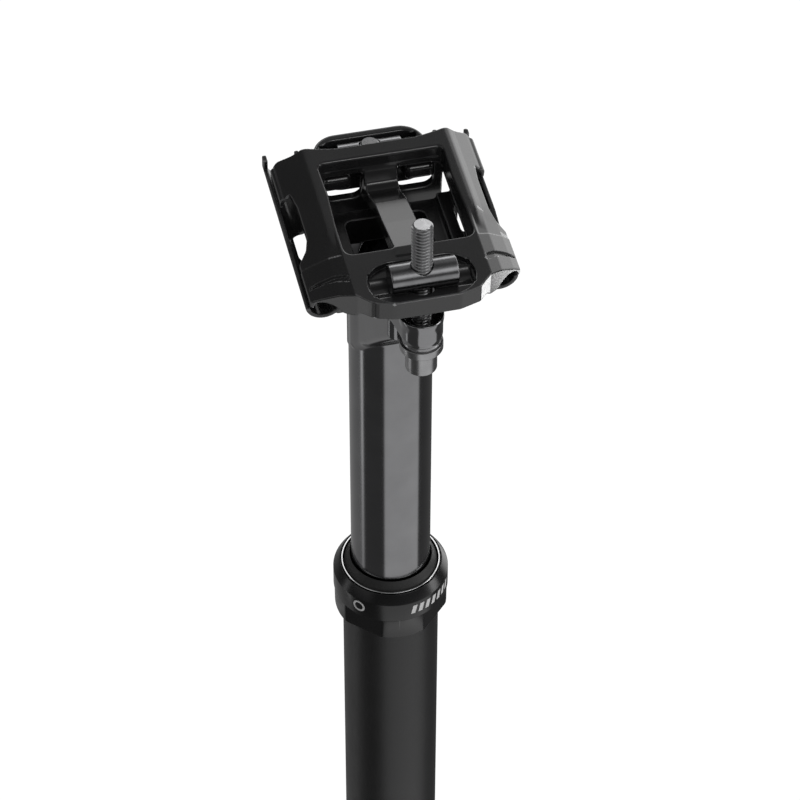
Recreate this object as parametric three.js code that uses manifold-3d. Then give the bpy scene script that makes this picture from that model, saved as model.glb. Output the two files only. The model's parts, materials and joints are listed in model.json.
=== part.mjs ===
// A height-adjustable bicycle seatpost: a fixed outer tube, a sliding inner post with its gas
// cartridge, and a two-bolt saddle clamp. Millimetres, +Z up along the post, -Y towards the
// handlebar, +X to the side. The origin is on the post's axis, level with the underside of the
// seal collar, which is where the post meets the top of the frame's seat tube.
import * as THREE from 'three'
import { mergeVertices } from 'three/addons/utils/BufferGeometryUtils.js'
import Module from 'manifold-3d'

const wasm = await Module()
wasm.setup()

// ---- driving dimensions ----
const GAP = 0.3 // clearance between touching pieces
const FINE = 48 // sides of a large round
const COARSE = 24 // sides of a small round

// fixed outer tube
const TUBE_R = 13.6
const TUBE_BORE_R = 12.35
const TUBE_TOP = 9
const TUBE_BOTTOM = -172
const BUSHING_BOTTOM = -16
const KEY_ANGLES = [-90, 30, 150] // degrees around the post
const KEY_WIDTH = 3.4
const KEY_LENGTH = 16
const KEY_BOTTOM = -72
const KEY_OUTER_R = 12.7
const KEYWAY_R = 13.0

// seal collar, screwed on the tube's top
const COLLAR_R = 16.24
const COLLAR_FOOT_R = 15.93
const COLLAR_SHOULDER = 13.65
const COLLAR_TOP = 16.4
const COLLAR_LIP_R = 14.25
const COLLAR_SEAT_R = 13.5
const COLLAR_STEP = 10.8
const COLLAR_LEDGE = 14.9
const COLLAR_THROAT_R = 12.6
const COLLAR_WEB = 0.4
const RING_HEIGHT = 1.4
const WIPER_SHOULDER_Z = 16.2
const WIPER_SLOPE_R = 12.5
const WIPER_SLOPE_Z = 17.3
const WIPER_LIP_Z = 18.7
const WRENCH_FLAT_HEIGHT = 7.2
const WRENCH_FLAT_HALF_ANGLE = 22.5

// sliding inner post and its head
const POST_R = 11.14
const POST_BORE_R = 9.9
const POST_BOTTOM = -78
const LAND_R = 11.9 // thicker foot of the post, where the keys sit
const LAND_TOP = -37
const HEAD_FLOOR = 106
const HEAD_FLOOR_THICK = 6
const HEAD_WELL_R = 8
const HEAD_TOP = 139.2
const BUMPER_BOTTOM = -23
const ARM_BOTTOM = 99.6 // the arms stay above the wiper when the post is down
const ARM_ROOT_Y = 4
const STEM_BORE_R = 4.5
const REAR_FLAT_Y = 7
const REAR_FLAT_Z = 133
const BOSS_R = 5.4
const BOSS_CUP_R = 4.7
const BOSS_HOLE_R = 3.5
const BOSS_FLOOR = 2.5

// the cartridge that holds the post up
const ROD_R = 4
const ROD_BORE_R = 1.4
const CARTRIDGE_R = 8.2
const CARTRIDGE_BORE_R = 6.8
const CARTRIDGE_BOTTOM = -74
const CARTRIDGE_TOP = 92
const PISTON_BOTTOM = -60
const PISTON_HEIGHT = 7
const FLOATING_PISTON_BOTTOM = 40
const FLOATING_PISTON_HEIGHT = 8
const PLUG_DEPTH = 8
const STEM_R = 4.2
const STEM_ABOVE = 5
const NUT_ACROSS = 13
const SEAL_HEAD_HEIGHT = 9

// saddle clamp: its own frame has z = 0 below the rails and leans nose-down with the saddle
const CLAMP_Y = -5
const CLAMP_Z = 141.5
const CLAMP_PITCH = 4.1 // degrees
const SEAT_AXIS_Z = 6.5 // height of the tilt axis in the clamp's frame
const SEAT_R = 20
const PLATE_TOP = 11.8
const PLATE_BOTTOM = 6.2
const RAIL_X = 22.6
const RAIL_Z = 1.8
const RAIL_GROOVE_R = 3.5
const WING_X = 26.9
const SHOULDER_X = 17.2 // the plate is flat this far out, then slopes down over the rail
const SLOPE_X = 21.4
const SLOPE_Z = 9.1
const KINK_X = 24.9
const KINK_Z = 5.7
const LIP_Z = 3.6
const BEAD_X = 25.7 // rolled edge along each wing's rear half
const BEAD_Z = 3.6
const BEAD_R = 1.2
const BEAD_FRONT = 13.6
const WING_FRONT = -21.9
const WING_REAR = 27.2
const PLATE_REAR = 21.9
const WINDOW_HALF = 16.5
const WINDOW_FRONT = -15.6
const WINDOW_REAR = 17.2
const WEB_HALF = 4.3
const WALL_HALF = 16.4
const WALL_THICK = 2.4
const WALL_WING_HALF = 18.6 // the wall reaches out to the wings above WALL_WING_Z
const WALL_WING_Z = 2
const PORT_OUTER = 14.4
const PORT_BOTTOM = -2.2
const PORT_TOP = 8
const CHEEK_INNER = 9
const CHEEK_OUTER = 14.8
const CHEEK_BOTTOM = 0
const NUT_R = 3.7
const NUT_LENGTH = 17
const NUT_SLIP = 0.2 // the front nut sits a little to one side in its pocket
const WELL_HALF = 9
const WELL_R = 4.2
const BOLT_SLOT_X = 3.4
const BOLT_SLOT_Y = 4.3
const POCKET_R = 6.7
const POCKET_STRAIGHT = 6.8
const FRONT_POCKET_Y = -27.3
const REAR_POCKET_Y = 28.2
const REAR_POCKET_TOP = 4.5
const REAR_POCKET_BOTTOM = -3.6
const FRONT_NUT_Z = 12.8
const REAR_NUT_Z = 1.7
const REAR_WALL_BOTTOM = -6.8
const CRADLE_FRONT = -21.6
const CRADLE_REAR = 31
const CRADLE_WALL = 1.15
const CRADLE_X = -0.6 // the cradle lies a little to one side, as nothing holds it until the rails are in
const CRADLE_GROOVE_R = 3.65
const EAR_FRONT = 28.7 // behind the wings the cradle's sides stand higher
const EAR_TOP = 4.4
const SADDLE_HALF_X = 19.2 // the curved pad that rests on the post's head
const SADDLE_TOP = -2.4
const SADDLE_BOTTOM = -14
const SADDLE_OPENING_X = 10.5
const SADDLE_OPENING_Y = 9.4
const LINK_INNER = 14.5 // thin floor between the pad and the grooves
const LINK_BOTTOM = -2.6
const LINK_TOP = -0.6
const SLOT_INNER = 17.6 // drain slot in each groove's floor
const SLOT_OUTER = 24.6
const SLOT_FRONT = -3
const SLOT_REAR = 8
const CRADLE_HALF_Y = 13

// clamp bolts, M6
const BOLT_R = 2.8
const BOLT_HEAD_R = 4.05
const BOLT_HEAD_HEIGHT = 6.4
const BOLT_LENGTH = 47.4
const WASHER_R = 5.6
const WASHER_THICK = 3.5
const FRONT_BOLT_BOTTOM = 121.2
const REAR_BOLT_BOTTOM = 101.8
const BOSS_HEIGHT = 7.8
const FRONT_WEB_Z = 125.6
const FRONT_ARM_FOOT = 110
const REAR_WEB_Z = 107
const REAR_ARM_FOOT = 103

// cable actuator at the foot
const FLANGE_THICK = 3
const SPIGOT_TOP = -162
const LEVER_Z = -186
const LEVER_PIVOT_Y = -3
const LEVER_HALF_X = 3.8
const LUG_INNER_X = 5.1
const LUG_OUTER_X = 7.2
const LUG_BOTTOM = -205
const PIVOT_R = 1.5
const STOP_TOP = -199
const LUG_FRONT = -12.4
const LUG_REAR = 4
const ROD_END = -180.6
const ROD_NECK_R = 3
const BARREL_Y = -9.7
const LEVER_TOP = LEVER_Z + 3.2
const BARREL_R = 1.2

// ---- places worked out from the dimensions ----
const radians = THREE.MathUtils.degToRad
const pitchCos = Math.cos(radians(CLAMP_PITCH))
const pitchSin = Math.sin(radians(CLAMP_PITCH))

// Where a point of the clamp's own frame lies on the post.
const clampToPostY = (y, z) => CLAMP_Y + y * pitchCos - z * pitchSin
const clampToPostZ = (y, z) => CLAMP_Z + y * pitchSin + z * pitchCos
const FRONT_BOLT_Y = clampToPostY(FRONT_POCKET_Y, FRONT_NUT_Z)
const REAR_BOLT_Y = clampToPostY(REAR_POCKET_Y, REAR_NUT_Z)

// ---- solid modelling helpers ----

// Turn a closed geometry into a solid, with its faces outward.
function solid(geometry) {
  geometry.deleteAttribute('normal')
  geometry.deleteAttribute('uv')
  const merged = mergeVertices(geometry, 1e-4)
  const p = merged.attributes.position
  const triangles = []
  let volume = 0
  const [a, b, c] = [new THREE.Vector3(), new THREE.Vector3(), new THREE.Vector3()]
  for (let i = 0; i < merged.index.count; i += 3) {
    const [u, v, w] = [0, 1, 2].map((k) => merged.index.getX(i + k))
    if (u === v || v === w || w === u) continue
    triangles.push([u, v, w])
    volume += a.fromBufferAttribute(p, u).dot(b.fromBufferAttribute(p, v).cross(c.fromBufferAttribute(p, w)))
  }
  const outward = volume > 0 ? triangles : triangles.map(([u, v, w]) => [u, w, v])
  return new wasm.Manifold(
    new wasm.Mesh({
      numProp: 3,
      vertProperties: Float32Array.from(p.array),
      triVerts: Uint32Array.from(outward.flat()),
    }),
  )
}

const cut = (body, ...tools) => tools.reduce((rest, tool) => rest.subtract(tool), body)
const join = (first, ...others) => others.reduce((whole, part) => whole.add(part), first)

// A round body about Z from a closed profile of [radius, z] points.
function turned(profile, sides = FINE) {
  const points = [...profile, profile[0]].map(([r, z]) => new THREE.Vector2(r, z))
  return solid(new THREE.LatheGeometry(points, sides).rotateX(Math.PI / 2))
}

const rod = (r, z0, z1, sides = COARSE) =>
  solid(new THREE.CylinderGeometry(r, r, z1 - z0, sides).rotateX(Math.PI / 2).translate(0, 0, (z0 + z1) / 2))

// A rod along Y at x, z.
const rodY = (r, x, z, y0, y1, sides = COARSE) =>
  solid(new THREE.CylinderGeometry(r, r, y1 - y0, sides).translate(x, (y0 + y1) / 2, z))

const rodX = (r, length, x, y, z, sides = COARSE) =>
  solid(new THREE.CylinderGeometry(r, r, length, sides).rotateZ(Math.PI / 2).translate(x, y, z))

const tube = (rIn, rOut, z0, z1, sides = FINE) =>
  turned([[rIn, z0], [rOut, z0], [rOut, z1], [rIn, z1]], sides)

const box = (x0, x1, y0, y1, z0, z1) =>
  solid(new THREE.BoxGeometry(x1 - x0, y1 - y0, z1 - z0).translate((x0 + x1) / 2, (y0 + y1) / 2, (z0 + z1) / 2))

const outline = (points) => new THREE.Shape(points.map(([u, v]) => new THREE.Vector2(u, v)))

const extruded = (shape, depth, curveSegments) =>
  new THREE.ExtrudeGeometry(shape, { depth, bevelEnabled: false, curveSegments })

// Outline in x, y, raised from z0 to z1.
const alongZ = (shape, z0, z1, segments = 8) => solid(extruded(shape, z1 - z0, segments).translate(0, 0, z0))

// Outline in x, z, drawn out from y0 to y1.
const alongY = (shape, y0, y1, segments = 8) =>
  solid(extruded(shape, y1 - y0, segments).rotateX(Math.PI / 2).translate(0, y1, 0))

// Outline in y, z, drawn out from x0 to x1.
function alongX(shape, x0, x1, segments = 8) {
  const turn = new THREE.Matrix4().set(0, 0, 1, x0, 1, 0, 0, 0, 0, 1, 0, 0, 0, 0, 0, 1)
  return solid(extruded(shape, x1 - x0, segments).applyMatrix4(turn))
}

// A stadium lying along x: two half rounds of radius r, their centres 2 * half apart.
function stadium(half, r, x = 0, y = 0) {
  const s = new THREE.Shape()
  s.absarc(x + half, y, r, -Math.PI / 2, Math.PI / 2)
  s.absarc(x - half, y, r, Math.PI / 2, 1.5 * Math.PI)
  return s
}

// A rectangle with round corners.
function roundedRect(x0, x1, y0, y1, r) {
  const s = new THREE.Shape()
  s.absarc(x1 - r, y0 + r, r, -Math.PI / 2, 0)
  s.absarc(x1 - r, y1 - r, r, 0, Math.PI / 2)
  s.absarc(x0 + r, y1 - r, r, Math.PI / 2, Math.PI)
  s.absarc(x0 + r, y0 + r, r, Math.PI, 1.5 * Math.PI)
  return s
}

const hexagon = (acrossFlats, z0, z1) =>
  solid(
    new THREE.CylinderGeometry(1, 1, z1 - z0, 6)
      .rotateX(Math.PI / 2)
      .scale(acrossFlats / Math.sqrt(3), acrossFlats / Math.sqrt(3), 1)
      .translate(0, 0, (z0 + z1) / 2),
  )

// Mirrored copies of what `make` builds on the +X side.
const bothSides = (right) => join(right, right.mirror([1, 0, 0]))

function mesh(name, body, finish) {
  const { vertProperties, triVerts } = body.getMesh()
  const geometry = new THREE.BufferGeometry()
  geometry.setAttribute('position', new THREE.BufferAttribute(vertProperties, 3))
  geometry.setIndex(new THREE.BufferAttribute(triVerts, 1))
  const made = new THREE.Mesh(geometry, new THREE.MeshStandardMaterial(finish))
  made.name = name
  return made
}

// ---- finishes ----
const ANODISED = { color: 0x1b1b1c, roughness: 0.35, metalness: 0.6 }
const POST_BLACK = { color: 0x2c2c2e, roughness: 0.2, metalness: 0.7 }
const SATIN_BLACK = { color: 0x19191a, roughness: 0.6, metalness: 0.3 }
const RUBBER = { color: 0x0c0c0d, roughness: 0.8, metalness: 0 }
const STEEL = { color: 0x8a8a8c, roughness: 0.35, metalness: 1 }
const BRIGHT = { color: 0xc8c8ca, roughness: 0.2, metalness: 1 }
const BRASS = { color: 0xb08d4a, roughness: 0.4, metalness: 1 }
const BEARING = { color: 0x3a3a36, roughness: 0.5, metalness: 0 }

// ---- fixed outer tube and what is fastened to it ----
function lowerTube() {
  const wall = tube(TUBE_BORE_R, TUBE_R, TUBE_BOTTOM, TUBE_TOP)
  const half = KEY_WIDTH / 2 + GAP
  const ways = KEY_ANGLES.map((angle) =>
    box(TUBE_BORE_R - 1, KEYWAY_R, -half, half, TUBE_BOTTOM - 1, TUBE_TOP + 1).rotate([0, 0, angle]),
  )
  return cut(wall, ...ways)
}

function collar() {
  const body = turned([
    [TUBE_R + GAP, 0],
    [COLLAR_FOOT_R, 0],
    [COLLAR_R, WRENCH_FLAT_HEIGHT],
    [COLLAR_R, COLLAR_SHOULDER],
    [COLLAR_LIP_R + 0.2, COLLAR_TOP],
    [COLLAR_LIP_R, COLLAR_TOP],
    [COLLAR_LIP_R, COLLAR_LEDGE],
    [COLLAR_SEAT_R, COLLAR_LEDGE],
    [COLLAR_SEAT_R, COLLAR_STEP],
    [COLLAR_THROAT_R, COLLAR_STEP],
    [COLLAR_THROAT_R, COLLAR_STEP - COLLAR_WEB],
    [TUBE_R + GAP, COLLAR_STEP - COLLAR_WEB],
  ])
  const apothem = COLLAR_FOOT_R * Math.cos(radians(WRENCH_FLAT_HALF_ANGLE))
  const flats = [45, 135, 225, 315].map((angle) =>
    box(apothem, COLLAR_R + 2, -10, 10, -1, WRENCH_FLAT_HEIGHT).rotate([0, 0, angle]),
  )
  return cut(body, ...flats)
}

const collarRing = () => 
  tube(COLLAR_SEAT_R, COLLAR_LIP_R - GAP, COLLAR_LEDGE + GAP, COLLAR_LEDGE + GAP + RING_HEIGHT)
const collarSeal = () => 
  tube(COLLAR_THROAT_R + 0.1, COLLAR_SEAT_R, TUBE_TOP + GAP, COLLAR_STEP - COLLAR_WEB - GAP)
const upperBushing = () => tube(POST_R + GAP, TUBE_BORE_R - GAP, BUSHING_BOTTOM, TUBE_TOP - 1)

const wiperSeal = () =>
  turned([
    [POST_R + GAP, COLLAR_STEP + GAP],
    [COLLAR_SEAT_R - GAP, COLLAR_STEP + GAP],
    [COLLAR_SEAT_R - GAP, WIPER_SHOULDER_Z],
    [WIPER_SLOPE_R, WIPER_SLOPE_Z],
    [POST_R + GAP + 0.25, WIPER_LIP_Z + 0.2],
    [POST_R + GAP, WIPER_LIP_Z],
  ])

// ---- sliding post ----
// Outline of the tangent hull of the post and a boss at distance y: the arm's plan view.
function armPlan(y) {
  const lean = Math.asin((POST_R - BOSS_R) / Math.abs(y))
  const s = new THREE.Shape()
  const side = Math.sign(y)
  const at = (r, angle, cy) => [r * Math.cos(angle), cy + side * r * Math.sin(angle)]
  const steps = 12
  for (let i = 0; i <= steps; i++) {
    const angle = lean + ((Math.PI - 2 * lean) * i) / steps
    const [px, py] = at(BOSS_R, angle, y)
    if (i === 0) s.moveTo(px, py)
    else s.lineTo(px, py)
  }
  const back = 2 * FINE / 3
  for (let i = 0; i <= back; i++) {
    const angle = Math.PI - lean + ((Math.PI + 2 * lean) * i) / back
    s.lineTo(...at(POST_R, angle, 0))
  }
  return s
}

// Side view of what is scooped away below an arm. The arm's underside drops behind the washer to
// webZ, then curves down to meet the post at postZ.
function armScoop(bossY, bossBottom, webZ, postZ) {
  const side = Math.sign(bossY)
  const webY = bossY - side * (WASHER_R + 2 * GAP)
  const outerY = bossY + side * 20
  const s = new THREE.Shape()
  s.moveTo(outerY, bossBottom)
  s.lineTo(webY, bossBottom)
  s.lineTo(webY, webZ)
  s.quadraticCurveTo((webY + side * POST_R) / 2, (webZ + postZ) / 2 + 0.5, side * POST_R, postZ)
  s.lineTo(side * ARM_ROOT_Y, ARM_BOTTOM - 1)
  s.lineTo(outerY, ARM_BOTTOM - 1)
  return s
}

function arm(bossY, bossTop, webZ, postZ) {
  const bossBottom = bossTop - BOSS_HEIGHT
  const blank = alongZ(armPlan(bossY), ARM_BOTTOM, bossTop)
  const scoop = alongX(armScoop(bossY, bossBottom, webZ, postZ), -20, 20)
  const cup = rod(BOSS_CUP_R, bossBottom + BOSS_FLOOR, bossTop + 1).translate([0, bossY, 0])
  const hole = rod(BOSS_HOLE_R, bossBottom - 1, bossTop + 1).translate([0, bossY, 0])
  return cut(blank, scoop, cup, hole)
}

const frontBossTop = FRONT_BOLT_BOTTOM + BOLT_HEAD_HEIGHT + WASHER_THICK + 2 * GAP + BOSS_HEIGHT
const rearBossTop = REAR_BOLT_BOTTOM + BOLT_HEAD_HEIGHT + WASHER_THICK + 2 * GAP + BOSS_HEIGHT

function upperPost() {
  const shaft = rod(POST_R, POST_BOTTOM, HEAD_TOP, FINE)
  const land = rod(LAND_R, POST_BOTTOM, LAND_TOP, FINE)
  const seat = rodX(SEAT_R, 60, 0, clampToPostY(0, SEAT_AXIS_Z), clampToPostZ(0, SEAT_AXIS_Z), 72)
  const bore = rod(POST_BORE_R, POST_BOTTOM - 1, HEAD_FLOOR, FINE)
  const well = rod(HEAD_WELL_R, HEAD_FLOOR + HEAD_FLOOR_THICK, HEAD_TOP + 1)
  const stem = rod(STEM_BORE_R, HEAD_FLOOR - 1, HEAD_FLOOR + HEAD_FLOOR_THICK + 1)
  const rearFlat = box(-20, 20, REAR_FLAT_Y, 40, REAR_FLAT_Z, HEAD_TOP + 1)
  const half = KEY_WIDTH / 2 + GAP
  const keySeats = KEY_ANGLES.map((angle) =>
    box(POST_R, LAND_R + 1, -half, half, KEY_BOTTOM - GAP, KEY_BOTTOM + KEY_LENGTH + GAP).rotate([0, 0, angle]),
  )
  const frontArm = arm(FRONT_BOLT_Y, frontBossTop, FRONT_WEB_Z, FRONT_ARM_FOOT)
  const rearArm = arm(REAR_BOLT_Y, rearBossTop, REAR_WEB_Z, REAR_ARM_FOOT)
  const whole = join(shaft, land, frontArm, rearArm)
  return cut(whole, seat, bore, well, stem, rearFlat, ...keySeats)
}

const guideKey = (angle) => {
  const key = box(POST_R + GAP, KEY_OUTER_R, -KEY_WIDTH / 2, KEY_WIDTH / 2, KEY_BOTTOM, KEY_BOTTOM + KEY_LENGTH)
  return key.rotate([0, 0, angle])
}

const lowerBushing = () => tube(POST_R + GAP, TUBE_BORE_R - GAP, LAND_TOP + GAP, BUMPER_BOTTOM)
const topOutBumper = () =>
  tube(POST_R + GAP, TUBE_BORE_R - GAP, BUMPER_BOTTOM + GAP, BUSHING_BOTTOM - GAP)

// ---- cartridge ----
const cartridgeBody = () => tube(CARTRIDGE_BORE_R, CARTRIDGE_R, CARTRIDGE_BOTTOM, CARTRIDGE_TOP)

const cartridgeTopPlug = () =>
  turned([
    [0, CARTRIDGE_TOP - PLUG_DEPTH],
    [CARTRIDGE_BORE_R - GAP, CARTRIDGE_TOP - PLUG_DEPTH],
    [CARTRIDGE_BORE_R - GAP, CARTRIDGE_TOP + GAP],
    [CARTRIDGE_R, CARTRIDGE_TOP + GAP],
    [CARTRIDGE_R, HEAD_FLOOR - GAP],
    [STEM_R, HEAD_FLOOR - GAP],
    [STEM_R, HEAD_FLOOR + HEAD_FLOOR_THICK + STEM_ABOVE],
    [0, HEAD_FLOOR + HEAD_FLOOR_THICK + STEM_ABOVE],
  ], COARSE)

const cartridgeNut = () =>
  cut(
    hexagon(NUT_ACROSS, HEAD_FLOOR + HEAD_FLOOR_THICK + GAP, HEAD_FLOOR + HEAD_FLOOR_THICK + 4 + GAP),
    rod(STEM_R + GAP, HEAD_FLOOR, HEAD_FLOOR + 20),
  )

const cartridgeSealHead = () =>
  tube(ROD_R + GAP, CARTRIDGE_BORE_R - GAP, CARTRIDGE_BOTTOM, CARTRIDGE_BOTTOM + SEAL_HEAD_HEIGHT, COARSE)

const floatingPiston = () =>
  rod(CARTRIDGE_BORE_R - GAP, FLOATING_PISTON_BOTTOM, FLOATING_PISTON_BOTTOM + FLOATING_PISTON_HEIGHT)

const mainPiston = () =>
  tube(ROD_BORE_R + GAP, CARTRIDGE_BORE_R - GAP, PISTON_BOTTOM, PISTON_BOTTOM + PISTON_HEIGHT, COARSE)

const cartridgeRod = () =>
  turned([
    [ROD_BORE_R, ROD_END],
    [ROD_NECK_R, ROD_END],
    [ROD_NECK_R, SPIGOT_TOP + GAP],
    [ROD_R, SPIGOT_TOP + GAP],
    [ROD_R, PISTON_BOTTOM - GAP],
    [ROD_BORE_R, PISTON_BOTTOM - GAP],
  ], COARSE)

const rodNut = () =>
  cut(
    hexagon(8, ROD_END + 1, TUBE_BOTTOM - FLANGE_THICK - 2 * GAP),
    rod(ROD_NECK_R + GAP, ROD_END - 9, ROD_END + 10),
  )

// ---- cable actuator ----
function actuatorHousing() {
  const plug = turned([
    [ROD_NECK_R + GAP, TUBE_BOTTOM - FLANGE_THICK - GAP],
    [TUBE_R - 0.2, TUBE_BOTTOM - FLANGE_THICK - GAP],
    [TUBE_R - 0.2, TUBE_BOTTOM - GAP],
    [TUBE_BORE_R - GAP, TUBE_BOTTOM - GAP],
    [TUBE_BORE_R - GAP, SPIGOT_TOP],
    [ROD_NECK_R + GAP, SPIGOT_TOP],
  ])
  const side = new THREE.Shape()
  side.moveTo(LUG_REAR, TUBE_BOTTOM - 1)
  side.lineTo(LUG_FRONT + 5, TUBE_BOTTOM - 1)
  side.lineTo(LUG_FRONT, TUBE_BOTTOM - 9)
  side.lineTo(LUG_FRONT, LUG_BOTTOM)
  side.lineTo(LUG_FRONT + 6.4, LUG_BOTTOM)
  side.lineTo(LUG_REAR, LEVER_Z - 6)
  const lug = alongX(side, LUG_INNER_X, LUG_OUTER_X)
  const lugs = cut(bothSides(lug), rodX(PIVOT_R + GAP, 30, 0, LEVER_PIVOT_Y, LEVER_Z))
  const bridge = box(-LUG_OUTER_X, LUG_OUTER_X, LUG_FRONT, BARREL_Y + 2.7, LUG_BOTTOM, STOP_TOP)
  const seat = rod(2.6, LUG_BOTTOM - 1, LUG_BOTTOM + 4.4).translate([0, BARREL_Y, 0])
  const wireHole = rod(1, LUG_BOTTOM - 1, STOP_TOP + 1).translate([0, BARREL_Y, 0])
  return cut(join(plug, lugs, bridge), seat, wireHole, rod(ROD_NECK_R + GAP, ROD_END - 9, SPIGOT_TOP + 9))
}

function releaseLever() {
  const side = new THREE.Shape()
  side.moveTo(1.8, LEVER_TOP)
  side.lineTo(-8, LEVER_TOP)
  side.absarc(BARREL_Y, LEVER_Z, 2.5, Math.PI / 2, 1.5 * Math.PI)
  side.lineTo(LEVER_PIVOT_Y, LEVER_Z - 3)
  side.lineTo(1.8, LEVER_Z)
  const blade = alongX(side, -LEVER_HALF_X, LEVER_HALF_X)
  const pivot = rodX(PIVOT_R + GAP, 20, 0, LEVER_PIVOT_Y, LEVER_Z)
  const barrelHole = rodX(BARREL_R + GAP, 20, 0, BARREL_Y, LEVER_Z)
  const wireSlot = box(-0.9, 0.9, -14, BARREL_Y, LEVER_Z - 4, LEVER_Z)
  return cut(blade, pivot, barrelHole, wireSlot)
}

const pivotPin = () => rodX(PIVOT_R, 2 * LUG_OUTER_X + 1, 0, LEVER_PIVOT_Y, LEVER_Z)
const pushPin = () => rod(ROD_BORE_R - GAP, LEVER_TOP + GAP, PISTON_BOTTOM + 5, 12)

const cableBarrel = () =>
  cut(
    rodX(BARREL_R, 2 * LEVER_HALF_X, 0, BARREL_Y, LEVER_Z, 16),
    rod(0.45, LEVER_Z - 3, LEVER_Z + 0.6, 8).translate([0, BARREL_Y, 0]),
  )

function leverSpring() {
  const x = (LEVER_HALF_X + LUG_INNER_X) / 2
  const ring = rodX(2.7, 0.7, x, LEVER_PIVOT_Y, LEVER_Z, 20)
  return cut(ring, rodX(2, 2, x, LEVER_PIVOT_Y, LEVER_Z, 20))
}

// ---- saddle clamp, in the clamp's own frame ----
// Half of the top plate's cross-section: flat in the middle, sloping out over the rail.
function wingSection() {
  const s = new THREE.Shape()
  s.moveTo(0, PLATE_TOP)
  s.lineTo(SHOULDER_X, PLATE_TOP)
  s.quadraticCurveTo(SHOULDER_X + 2.8, PLATE_TOP, SLOPE_X, SLOPE_Z)
  s.lineTo(KINK_X, KINK_Z)
  s.lineTo(WING_X, LIP_Z)
  s.lineTo(WING_X, RAIL_Z)
  s.lineTo(RAIL_X + RAIL_GROOVE_R, RAIL_Z)
  s.absarc(RAIL_X, RAIL_Z, RAIL_GROOVE_R, 0, radians(145))
  s.lineTo(18.6, 3.9)
  s.lineTo(17, 4.4)
  s.lineTo(15.6, PLATE_BOTTOM)
  s.lineTo(0, PLATE_BOTTOM)
  return s
}

// The clamp seen from above: block, oblique wing fronts, wings with a scallop, wavy rear edge.
function clampPlan() {
  const half = [
    [0, -34.9], [7.5, -34.9], [13.4, -33.3], [16.8, -30], [WING_X + 0.2, WING_FRONT],
    [WING_X + 0.2, -9], [24.4, -5.6], [23.6, -3], [23.6, 8], [24.2, BEAD_FRONT - 1], [24.4, BEAD_FRONT],
    [WING_X + 0.2, BEAD_FRONT], [WING_X + 0.2, WING_REAR - 2], [25.4, WING_REAR], [21.4, 24.6], [16.2, 23.1],
    [12.4, PLATE_REAR + 0.4], [9.6, PLATE_REAR],
  ]
  const mirrored = half.slice(1).reverse().map(([x, y]) => [-x, y])
  return outline([...half, ...mirrored])
}

const pocketSlot = (y, z0, z1) => alongZ(stadium(POCKET_STRAIGHT, POCKET_R, 0, y), z0, z1, 10)

// Pocket of a barrel nut: a straight-sided well with a rounded trough that the nut rolls in.
function nutSeat(y, nutZ, rim) {
  const well = alongZ(stadium(WELL_HALF, WELL_R, 0, y), nutZ - 1.2, rim + 8, 6)
  const trough = rodX(NUT_R + GAP, 2 * (WELL_HALF + NUT_R + GAP), 0, y, nutZ, 32)
  const slotPlan = roundedRect(-BOLT_SLOT_X, BOLT_SLOT_X, y - BOLT_SLOT_Y, y + BOLT_SLOT_Y, BOLT_SLOT_X - 0.1)
  const boltSlot = alongZ(slotPlan, nutZ - 16, nutZ, 5)
  return join(well, trough, boltSlot)
}

function clampWeb() {
  const s = outline([
    [WINDOW_FRONT - 3, PLATE_TOP], [WINDOW_FRONT + 1, PLATE_TOP], [-4.5, 8.9], [5.4, 6.2], [13, 3.4],
    [15, 4.6], [WINDOW_REAR + 0.6, 7], [WINDOW_REAR + 1.5, 7], [WINDOW_REAR + 1.5, -2], [13, -0.4],
    [5.4, 2.6], [-4.5, 5.2], [WINDOW_FRONT - 3, PLATE_BOTTOM + 1],
  ])
  return alongX(s, -WEB_HALF, WEB_HALF)
}

function topClamp() {
  const half = alongY(wingSection(), -36, WING_REAR + 1)
  const plate = bothSides(half).intersect(alongZ(clampPlan(), -1, PLATE_TOP + 1))
  const rail = rodY(RAIL_GROOVE_R, RAIL_X, RAIL_Z, -36, WING_REAR + 1, 40)
  const bead = cut(rodY(BEAD_R, BEAD_X, BEAD_Z, BEAD_FRONT, WING_REAR - 0.8, 20), rail)
  const window = join(
    alongZ(roundedRect(-WINDOW_HALF - 0.6, WINDOW_HALF + 0.6, -3, WINDOW_REAR, 2), 0, 20, 5),
    alongZ(roundedRect(-WINDOW_HALF, WINDOW_HALF, WINDOW_FRONT, 6, 3), 0, 20, 5),
  )
  const wallBack = WINDOW_REAR + WALL_THICK
  const rearWall = join(
    box(-WALL_HALF, WALL_HALF, WINDOW_REAR, wallBack, REAR_WALL_BOTTOM, PLATE_BOTTOM + 1),
    box(-WALL_WING_HALF, WALL_WING_HALF, WINDOW_REAR, wallBack, WALL_WING_Z, PLATE_BOTTOM + 1),
  )
  const port = roundedRect(WEB_HALF + 0.1, PORT_OUTER, PORT_BOTTOM, PORT_TOP, 2.4)
  const rearPorts = bothSides(alongY(port, WINDOW_REAR - 4, wallBack + 1))
  const block = join(
    alongZ(stadium(POCKET_STRAIGHT + 1.2, POCKET_R, 0, REAR_POCKET_Y), REAR_POCKET_BOTTOM, REAR_POCKET_TOP, 10),
    bothSides(box(CHEEK_INNER, CHEEK_OUTER, WINDOW_REAR + 2, REAR_POCKET_Y, CHEEK_BOTTOM, REAR_POCKET_TOP)),
    box(-4, 4, WINDOW_REAR + 2, REAR_POCKET_Y - 4, REAR_POCKET_BOTTOM, REAR_NUT_Z),
  )
  const body = join(cut(plate, window), bothSides(bead), cut(rearWall, rearPorts), block, clampWeb())
  return cut(
    body,
    nutSeat(FRONT_POCKET_Y, FRONT_NUT_Z, PLATE_TOP),
    nutSeat(REAR_POCKET_Y, REAR_NUT_Z, REAR_POCKET_TOP),
    pocketSlot(FRONT_POCKET_Y, PLATE_TOP - 1.6, PLATE_TOP + 1),
  )
}

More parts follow.
